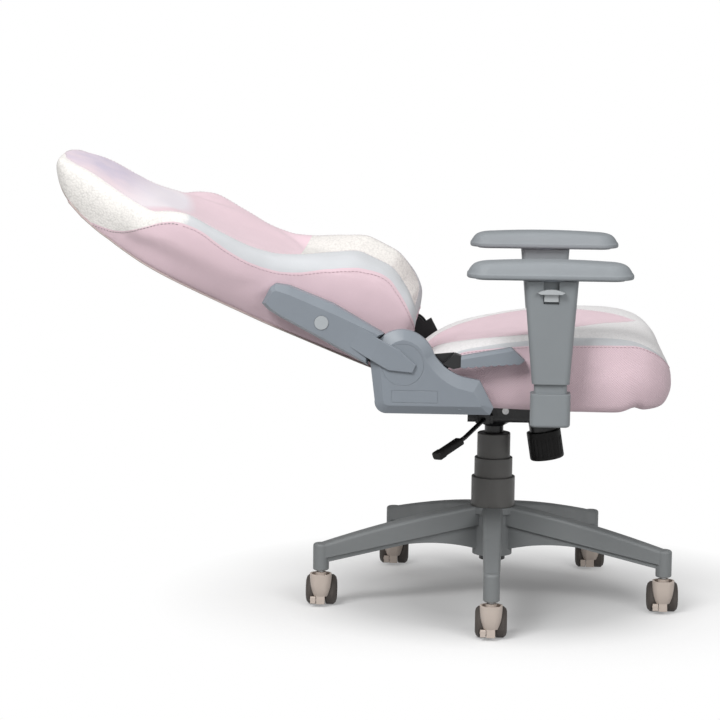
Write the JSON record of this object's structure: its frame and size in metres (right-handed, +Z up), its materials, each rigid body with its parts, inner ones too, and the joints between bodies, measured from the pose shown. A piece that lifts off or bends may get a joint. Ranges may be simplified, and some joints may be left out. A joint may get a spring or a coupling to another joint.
{
  "type": "gaming chair",
  "caption": "Reclining gaming chair with bucket seat and winged back, adjustable armrests, gas lift with telescopic cover and a star base on twin-wheel casters.",
  "frame": {"origin": "on the floor, under the axis of the gas lift", "axes": "+Z up, +X the way the sitter faces, +Y to the sitter's left"},
  "size_m": [1.1163, 0.675, 0.8068],
  "materials": {
    "base_plastic": "satin blue-grey glass-filled nylon",
    "steel": "zinc-plated steel",
    "caster_taupe": "satin taupe moulding",
    "caster_wheel": "dark soft tread on a nylon wheel",
    "black_steel": "black powder coat",
    "cover_dark_plastic": "dark taupe-grey moulding",
    "black_plastic": "black textured moulding",
    "webbing": "woven elastic webbing",
    "pink_fabric": "fine pink knit over moulded foam, white boucle panels",
    "grey_plastic": "satin grey moulding",
    "silver_plastic": "light silver-grey moulding",
    "grey_soft_plastic": "soft-touch grey polyurethane skin"
  },
  "bodies": {
    "base": {"star_base": "base_plastic", "caster_stems": "steel", "gas_lift_column": "black_steel", "gas_lift_piston_rod": "steel", "lift_cover_lower": "cover_dark_plastic"},
    "cover_middle": {"lift_cover_middle": "cover_dark_plastic"},
    "lift": {"gas_lift_cylinder": "black_steel", "lift_cover_upper": "cover_dark_plastic"},
    "mechanism": {"mech_housing": "black_steel", "tilt_pivot_pin": "steel"},
    "tension_screw": {"tension_bolt": "steel", "tension_knob": "black_plastic"},
    "lift_cam": {"lever_cam": "black_steel"},
    "lift_lever": {"lift_lever_rod": "black_steel", "lift_lever_grip": "black_plastic"},
    "seat": {"mech_top_plate": "black_steel", "seat_frame": "black_steel", "seat_bolts": "steel", "seat_webbing": "webbing", "seat_cushion": "pink_fabric", "recliner_bracket_right": "black_steel", "recliner_bracket_left": "black_steel", "recliner_discs": "black_steel", "hinge_cover_right": "grey_plastic", "hinge_cover_left": "grey_plastic", "armrest_brackets": "black_steel", "armrest_post_right": "grey_plastic", "armrest_post_left": "grey_plastic"},
    "back": {"back_frame": "black_steel", "back_bolts": "steel", "back_hinge_arms": "black_steel", "back_cushion": "pink_fabric", "back_cover_right": "grey_plastic", "back_cover_left": "grey_plastic", "back_cover_caps": "grey_plastic"},
    "recline_lever": {"recline_lever_arm": "black_steel", "recline_lever_grip": "grey_plastic"},
    "armrest_right": {"armrest_sleeve_right": "grey_plastic"},
    "button_right": {"armrest_button_right": "silver_plastic"},
    "slider_right": {"armrest_slider_right": "grey_plastic"},
    "pad_right": {"armrest_pad_right": "grey_soft_plastic"},
    "armrest_left": {"armrest_sleeve_left": "grey_plastic"},
    "button_left": {"armrest_button_left": "silver_plastic"},
    "slider_left": {"armrest_slider_left": "grey_plastic"},
    "pad_left": {"armrest_pad_left": "grey_soft_plastic"},
    "caster_1": {"caster_1_body": "caster_taupe"},
    "caster_1_wheel_pair": {"caster_1_wheels": "caster_wheel"},
    "caster_1_pedal": {"caster_1_brake": "caster_taupe"},
    "caster_2": {"caster_2_body": "caster_taupe"},
    "caster_2_wheel_pair": {"caster_2_wheels": "caster_wheel"},
    "caster_2_pedal": {"caster_2_brake": "caster_taupe"},
    "caster_3": {"caster_3_body": "caster_taupe"},
    "caster_3_wheel_pair": {"caster_3_wheels": "caster_wheel"},
    "caster_3_pedal": {"caster_3_brake": "caster_taupe"},
    "caster_4": {"caster_4_body": "caster_taupe"},
    "caster_4_wheel_pair": {"caster_4_wheels": "caster_wheel"},
    "caster_4_pedal": {"caster_4_brake": "caster_taupe"},
    "caster_5": {"caster_5_body": "caster_taupe"},
    "caster_5_wheel_pair": {"caster_5_wheels": "caster_wheel"},
    "caster_5_pedal": {"caster_5_brake": "caster_taupe"}
  },
  "joints": [
    {"name": "seat_lift", "type": "slide", "parent": "base", "child": "lift", "axis": [0, 0, 1], "range_m": [-0.055, 0.04]},
    {"name": "cover_slide", "type": "slide", "parent": "base", "child": "cover_middle", "axis": [0, 0, 1], "range_m": [-0.0285, 0.021]},
    {"name": "seat_swivel", "type": "hinge", "parent": "lift", "child": "mechanism", "pos_m": [0, 0, 0.35], "axis": [0, 0, 1], "continuous": true},
    {"name": "tension_turn", "type": "hinge", "parent": "mechanism", "child": "tension_screw", "pos_m": [0.086, 0, 0.334], "axis": [0.1564, 0, -0.9877], "range_deg": [-720, 720]},
    {"name": "lever_lift", "type": "hinge", "parent": "mechanism", "child": "lift_cam", "pos_m": [-0.018, -0.058, 0.34], "axis": [-1, 0, 0], "range_deg": [0, 6], "stiffness_Nm_per_rad": 6, "springref_deg": -14.32},
    {"name": "lever_pull", "type": "slide", "parent": "lift_cam", "child": "lift_lever", "axis": [-0.2599, -0.9597, -0.1066], "range_m": [0, 0.012]},
    {"name": "seat_tilt", "type": "hinge", "parent": "mechanism", "child": "seat", "pos_m": [0.02, 0, 0.355], "axis": [0, -1, 0], "range_deg": [0, 12], "stiffness_Nm_per_rad": 260, "springref_deg": -28.65},
    {"name": "back_recline", "type": "hinge", "parent": "seat", "child": "back", "pos_m": [-0.158, 0, 0.466], "axis": [0, 1, 0], "range_deg": [0, 58]},
    {"name": "recline_release", "type": "hinge", "parent": "seat", "child": "recline_lever", "pos_m": [-0.158, -0.24, 0.466], "axis": [0, -1, 0], "range_deg": [0, 25], "stiffness_Nm_per_rad": 1.2, "springref_deg": -28.65},
    {"name": "armrest_height_right", "type": "slide", "parent": "seat", "child": "armrest_right", "axis": [0, 0, 1], "range_m": [-0.012, 0.058]},
    {"name": "armrest_button_right", "type": "slide", "parent": "armrest_right", "child": "button_right", "axis": [0, 0, 1], "range_m": [0, 0.005], "stiffness_N_per_m": 600, "springref_m": -0.004},
    {"name": "pad_slide_right", "type": "slide", "parent": "armrest_right", "child": "slider_right", "axis": [1, 0, 0], "range_m": [0, 0.05]},
    {"name": "pad_turn_right", "type": "hinge", "parent": "slider_right", "child": "pad_right", "pos_m": [0.092, -0.288, 0.62], "axis": [0, 0, 1], "range_deg": [-15, 15]},
    {"name": "armrest_height_left", "type": "slide", "parent": "seat", "child": "armrest_left", "axis": [0, 0, 1], "range_m": [-0.012, 0.058]},
    {"name": "armrest_button_left", "type": "slide", "parent": "armrest_left", "child": "button_left", "axis": [0, 0, 1], "range_m": [0, 0.005], "stiffness_N_per_m": 600, "springref_m": -0.004},
    {"name": "pad_slide_left", "type": "slide", "parent": "armrest_left", "child": "slider_left", "axis": [1, 0, 0], "range_m": [0, 0.05]},
    {"name": "pad_turn_left", "type": "hinge", "parent": "slider_left", "child": "pad_left", "pos_m": [0.092, 0.288, 0.62], "axis": [0, 0, 1], "range_deg": [-15, 15]},
    {"name": "caster_1_swivel", "type": "hinge", "parent": "base", "child": "caster_1", "pos_m": [0, -0.322, 0.05], "axis": [0, 0, 1], "continuous": true},
    {"name": "caster_1_roll", "type": "hinge", "parent": "caster_1", "child": "caster_1_wheel_pair", "pos_m": [0, -0.3, 0.027], "axis": [1, 0, 0], "continuous": true},
    {"name": "caster_1_brake_press", "type": "hinge", "parent": "caster_1", "child": "caster_1_pedal", "pos_m": [-0.0125, -0.33, 0.014], "axis": [1, 0, 0], "range_deg": [0, 20]},
    {"name": "caster_2_swivel", "type": "hinge", "parent": "base", "child": "caster_2", "pos_m": [0.30624, -0.0995, 0.05], "axis": [0, 0, 1], "continuous": true},
    {"name": "caster_2_roll", "type": "hinge", "parent": "caster_2", "child": "caster_2_wheel_pair", "pos_m": [0.30624, -0.0775, 0.027], "axis": [1, 0, 0], "continuous": true},
    {"name": "caster_2_brake_press", "type": "hinge", "parent": "caster_2", "child": "caster_2_pedal", "pos_m": [0.29374, -0.1075, 0.014], "axis": [1, 0, 0], "range_deg": [0, 20]},
    {"name": "caster_3_swivel", "type": "hinge", "parent": "base", "child": "caster_3", "pos_m": [0.18927, 0.2605, 0.05], "axis": [0, 0, 1], "continuous": true},
    {"name": "caster_3_roll", "type": "hinge", "parent": "caster_3", "child": "caster_3_wheel_pair", "pos_m": [0.18927, 0.2825, 0.027], "axis": [1, 0, 0], "continuous": true},
    {"name": "caster_3_brake_press", "type": "hinge", "parent": "caster_3", "child": "caster_3_pedal", "pos_m": [0.17677, 0.2525, 0.014], "axis": [1, 0, 0], "range_deg": [0, 20]},
    {"name": "caster_4_swivel", "type": "hinge", "parent": "base", "child": "caster_4", "pos_m": [-0.18927, 0.2605, 0.05], "axis": [0, 0, 1], "continuous": true},
    {"name": "caster_4_roll", "type": "hinge", "parent": "caster_4", "child": "caster_4_wheel_pair", "pos_m": [-0.18927, 0.2825, 0.027], "axis": [1, 0, 0], "continuous": true},
    {"name": "caster_4_brake_press", "type": "hinge", "parent": "caster_4", "child": "caster_4_pedal", "pos_m": [-0.20177, 0.2525, 0.014], "axis": [1, 0, 0], "range_deg": [0, 20]},
    {"name": "caster_5_swivel", "type": "hinge", "parent": "base", "child": "caster_5", "pos_m": [-0.30624, -0.0995, 0.05], "axis": [0, 0, 1], "continuous": true},
    {"name": "caster_5_roll", "type": "hinge", "parent": "caster_5", "child": "caster_5_wheel_pair", "pos_m": [-0.30624, -0.0775, 0.027], "axis": [1, 0, 0], "continuous": true},
    {"name": "caster_5_brake_press", "type": "hinge", "parent": "caster_5", "child": "caster_5_pedal", "pos_m": [-0.31874, -0.1075, 0.014], "axis": [1, 0, 0], "range_deg": [0, 20]}
  ],
  "couplings": [
    {"joint": "cover_slide", "follows": "seat_lift", "ratio": 0.5}
  ]
}
